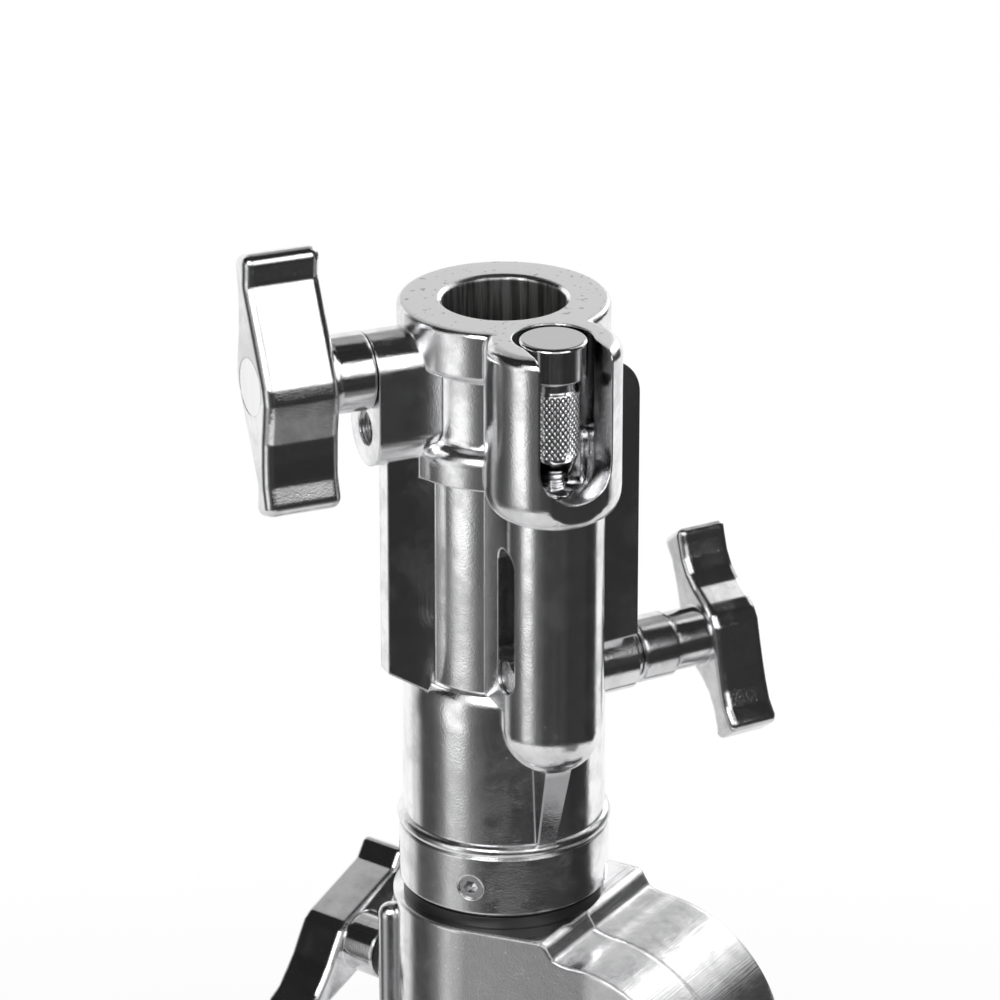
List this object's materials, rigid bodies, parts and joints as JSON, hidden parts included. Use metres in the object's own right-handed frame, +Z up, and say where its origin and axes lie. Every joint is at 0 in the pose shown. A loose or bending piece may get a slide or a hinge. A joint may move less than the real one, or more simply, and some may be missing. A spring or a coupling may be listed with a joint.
{
  "type": "wind-up light stand",
  "caption": "Geared light stand: a crank lifts a riser out of a column on folding braced legs; its swivelling head has a spigot socket, a pull-up stud and clamp screws.",
  "frame": {"origin": "on the floor under the column's axis", "axes": "+Z up along the column; the stud's pocket faces -Y and the socket clamp points to -X"},
  "size_m": [1.0576, 0.922, 1.2082],
  "materials": {
    "column_tube": "chrome-plated tube or strip",
    "column_foot_plug": "black nylon",
    "leg_hub": "polished chrome plate on a casting",
    "leg_pivot_pins": "machined steel",
    "winch_body": "polished chrome plate on a casting",
    "winch_cover": "polished chrome plate on a casting",
    "cover_screws": "machined steel",
    "riser_guide_bushes": "black nylon",
    "shaft_bushes": "turned brass",
    "ratchet_wheel": "machined steel",
    "pawl_pin": "machined steel",
    "riser_lock_washer": "black nylon",
    "riser_tube": "chrome-plated tube or strip",
    "riser_rack": "machined steel",
    "riser_foot_bush": "black nylon",
    "pinion_shaft": "machined steel",
    "drive_pinion": "machined steel",
    "brake_discs": "friction lining",
    "crank_arm": "polished chrome plate on a casting",
    "crank_nut": "machined steel",
    "crank_grip_bolt": "machined steel",
    "crank_grip": "black moulded plastic",
    "pawl": "machined steel",
    "head_casting": "polished chrome plate on a casting",
    "collar_screws": "machined steel",
    "stud": "turned and plated",
    "stud_guide_pin": "machined steel",
    "socket_clamp_pad": "turned brass",
    "socket_clamp_handle": "polished chrome plate on a casting",
    "socket_clamp_screw": "turned and plated",
    "head_clamp_pad": "turned brass",
    "head_clamp_handle": "polished chrome plate on a casting",
    "head_clamp_screw": "turned and plated",
    "riser_lock_pad": "turned brass",
    "riser_lock_handle": "polished chrome plate on a casting",
    "riser_lock_screw": "turned and plated",
    "leg_a": "chrome-plated tube or strip",
    "knuckle_a": "polished chrome plate on a casting",
    "leveling_collar": "polished chrome plate on a casting",
    "brace_pin_a": "machined steel",
    "leg_b": "chrome-plated tube or strip",
    "knuckle_b": "polished chrome plate on a casting",
    "foot_b": "black rubber",
    "brace_pin_b": "machined steel",
    "leg_c": "chrome-plated tube or strip",
    "knuckle_c": "polished chrome plate on a casting",
    "foot_c": "black rubber",
    "brace_pin_c": "machined steel",
    "leveling_tube": "chrome-plated tube or strip",
    "foot_a": "black rubber",
    "leveling_clamp_pad": "turned brass",
    "leveling_clamp_handle": "polished chrome plate on a casting",
    "leveling_clamp_screw": "turned and plated",
    "brace_a": "chrome-plated tube or strip",
    "brace_b": "chrome-plated tube or strip",
    "brace_c": "chrome-plated tube or strip",
    "lower_hub": "polished chrome plate on a casting",
    "lower_hub_pins": "machined steel",
    "hub_lock_pad": "turned brass",
    "hub_lock_handle": "polished chrome plate on a casting"
  },
  "bodies": {
    "base": {"column_tube": "column_tube", "column_foot_plug": "column_foot_plug", "leg_hub": "leg_hub", "leg_pivot_pins": "leg_pivot_pins", "winch_body": "winch_body", "winch_cover": "winch_cover", "cover_screws": "cover_screws", "riser_guide_bushes": "riser_guide_bushes", "shaft_bushes": "shaft_bushes", "ratchet_wheel": "ratchet_wheel", "pawl_pin": "pawl_pin", "riser_lock_washer": "riser_lock_washer"},
    "riser": {"riser_tube": "riser_tube", "riser_rack": "riser_rack", "riser_foot_bush": "riser_foot_bush"},
    "crank": {"pinion_shaft": "pinion_shaft", "drive_pinion": "drive_pinion", "brake_discs": "brake_discs", "crank_arm": "crank_arm", "crank_nut": "crank_nut", "crank_grip_bolt": "crank_grip_bolt"},
    "grip": {"crank_grip": "crank_grip"},
    "pawl": {"pawl": "pawl"},
    "head": {"head_casting": "head_casting", "collar_screws": "collar_screws"},
    "stud": {"stud": "stud", "stud_guide_pin": "stud_guide_pin"},
    "socket_pad": {"socket_clamp_pad": "socket_clamp_pad"},
    "socket_clamp": {"socket_clamp_handle": "socket_clamp_handle", "socket_clamp_screw": "socket_clamp_screw"},
    "head_pad": {"head_clamp_pad": "head_clamp_pad"},
    "head_clamp": {"head_clamp_handle": "head_clamp_handle", "head_clamp_screw": "head_clamp_screw"},
    "riser_lock_pad": {"riser_lock_pad": "riser_lock_pad"},
    "riser_lock": {"riser_lock_handle": "riser_lock_handle", "riser_lock_screw": "riser_lock_screw"},
    "leg_a": {"leg_a": "leg_a", "knuckle_a": "knuckle_a", "leveling_collar": "leveling_collar", "brace_pin_a": "brace_pin_a"},
    "leg_b": {"leg_b": "leg_b", "knuckle_b": "knuckle_b", "foot_b": "foot_b", "brace_pin_b": "brace_pin_b"},
    "leg_c": {"leg_c": "leg_c", "knuckle_c": "knuckle_c", "foot_c": "foot_c", "brace_pin_c": "brace_pin_c"},
    "leveling_leg": {"leveling_tube": "leveling_tube", "foot_a": "foot_a"},
    "leveling_pad": {"leveling_clamp_pad": "leveling_clamp_pad"},
    "leveling_clamp": {"leveling_clamp_handle": "leveling_clamp_handle", "leveling_clamp_screw": "leveling_clamp_screw"},
    "brace_a": {"brace_a": "brace_a"},
    "brace_b": {"brace_b": "brace_b"},
    "brace_c": {"brace_c": "brace_c"},
    "lower_hub": {"lower_hub": "lower_hub", "lower_hub_pins": "lower_hub_pins"},
    "hub_lock_pad": {"hub_lock_pad": "hub_lock_pad"},
    "hub_lock": {"hub_lock_handle": "hub_lock_handle"}
  },
  "joints": [
    {"name": "riser_slide", "type": "slide", "parent": "base", "child": "riser", "axis": [0, 0, 1], "range_m": [0, 0.78]},
    {"name": "crank_turn", "type": "hinge", "parent": "base", "child": "crank", "pos_m": [0.01814, -0.02452, 1.0014], "axis": [0.8039, 0.5948, 0], "range_deg": [0, 3725]},
    {"name": "crank_grip_spin", "type": "hinge", "parent": "crank", "child": "grip", "pos_m": [0.13068, 0.05876, 0.8514], "axis": [0.8039, 0.5948, 0], "continuous": true},
    {"name": "pawl_lift", "type": "hinge", "parent": "base", "child": "pawl", "pos_m": [0.02905, -0.02329, 1.0224], "axis": [-0.8039, -0.5948, 0], "range_deg": [0, 12]},
    {"name": "head_swivel", "type": "hinge", "parent": "riser", "child": "head", "pos_m": [0, 0, 1.0502], "axis": [0, 0, 1], "continuous": true},
    {"name": "stud_lift", "type": "slide", "parent": "head", "child": "stud", "axis": [0, 0, 1], "range_m": [0, 0.028]},
    {"name": "socket_clamp_feed", "type": "slide", "parent": "head", "child": "socket_pad", "axis": [-1, 0, 0], "range_m": [0, 0.00525]},
    {"name": "socket_clamp_turn", "type": "hinge", "parent": "socket_pad", "child": "socket_clamp", "pos_m": [-0.03, 0, 1.1773], "axis": [-1, 0, 0], "range_deg": [0, 1080]},
    {"name": "head_clamp_feed", "type": "slide", "parent": "head", "child": "head_pad", "axis": [0.9925, 0.1219, 0], "range_m": [0, 0.00525]},
    {"name": "head_clamp_turn", "type": "hinge", "parent": "head_pad", "child": "head_clamp", "pos_m": [0.02978, 0.00366, 1.093], "axis": [0.9925, 0.1219, 0], "range_deg": [0, 1080]},
    {"name": "riser_lock_feed", "type": "slide", "parent": "base", "child": "riser_lock_pad", "axis": [-0.4848, 0.8746, 0], "range_m": [0, 0.00525]},
    {"name": "riser_lock_turn", "type": "hinge", "parent": "riser_lock_pad", "child": "riser_lock", "pos_m": [-0.01454, 0.02624, 1.0106], "axis": [-0.4848, 0.8746, 0], "range_deg": [0, 1080]},
    {"name": "hub_lock_feed", "type": "slide", "parent": "lower_hub", "child": "hub_lock_pad", "axis": [0, 1, 0], "range_m": [0, 0.00525]},
    {"name": "hub_lock_turn", "type": "hinge", "parent": "hub_lock_pad", "child": "hub_lock", "pos_m": [0, 0.03, 0.18845], "axis": [0, 1, 0], "range_deg": [0, 1080]},
    {"name": "leveling_clamp_feed", "type": "slide", "parent": "leg_a", "child": "leveling_pad", "axis": [0, -0.7071, 0.7071], "range_m": [0, 0.00525]},
    {"name": "leveling_clamp_turn", "type": "hinge", "parent": "leveling_pad", "child": "leveling_clamp", "pos_m": [0, -0.48359, 0.15069], "axis": [0, -0.7071, 0.7071], "range_deg": [0, 1080]},
    {"name": "leg_a_fold", "type": "hinge", "parent": "base", "child": "leg_a", "pos_m": [0, -0.046, 0.56], "axis": [1, 0, 0], "range_deg": [0, 41]},
    {"name": "brace_a_turn", "type": "hinge", "parent": "leg_a", "child": "brace_a", "pos_m": [0, -0.22278, 0.38322], "axis": [1, 0, 0], "range_deg": [-82, 0]},
    {"name": "leg_b_fold", "type": "hinge", "parent": "base", "child": "leg_b", "pos_m": [0.03984, 0.023, 0.56], "axis": [-0.5, 0.866, 0], "range_deg": [0, 41]},
    {"name": "brace_b_turn", "type": "hinge", "parent": "leg_b", "child": "brace_b", "pos_m": [0.19293, 0.11139, 0.38322], "axis": [-0.5, 0.866, 0], "range_deg": [-82, 0]},
    {"name": "leg_c_fold", "type": "hinge", "parent": "base", "child": "leg_c", "pos_m": [-0.03984, 0.023, 0.56], "axis": [-0.5, -0.866, 0], "range_deg": [0, 41]},
    {"name": "brace_c_turn", "type": "hinge", "parent": "leg_c", "child": "brace_c", "pos_m": [-0.19293, 0.11139, 0.38322], "axis": [-0.5, -0.866, 0], "range_deg": [-82, 0]},
    {"name": "lower_hub_level", "type": "hinge", "parent": "brace_a", "child": "lower_hub", "pos_m": [0, -0.046, 0.20645], "axis": [1, 0, 0], "range_deg": [0, 41]},
    {"name": "leveling_slide", "type": "slide", "parent": "leg_a", "child": "leveling_leg", "axis": [0, -0.7071, -0.7071], "range_m": [0, 0.2]}
  ],
  "couplings": [
    {"joint": "crank_turn", "follows": "riser_slide", "rad_per_m": 83.333},
    {"joint": "socket_clamp_turn", "follows": "socket_clamp_feed", "rad_per_m": 3590.4},
    {"joint": "head_clamp_turn", "follows": "head_clamp_feed", "rad_per_m": 3590.4},
    {"joint": "riser_lock_turn", "follows": "riser_lock_feed", "rad_per_m": 3590.4},
    {"joint": "hub_lock_turn", "follows": "hub_lock_feed", "rad_per_m": 3590.4},
    {"joint": "leveling_clamp_turn", "follows": "leveling_clamp_feed", "rad_per_m": 3590.4},
    {"joint": "brace_a_turn", "follows": "leg_a_fold", "ratio": -2},
    {"joint": "leg_b_fold", "follows": "leg_a_fold", "ratio": 1},
    {"joint": "brace_b_turn", "follows": "leg_a_fold", "ratio": -2},
    {"joint": "leg_c_fold", "follows": "leg_a_fold", "ratio": 1},
    {"joint": "brace_c_turn", "follows": "leg_a_fold", "ratio": -2},
    {"joint": "lower_hub_level", "follows": "leg_a_fold", "ratio": 1}
  ]
}
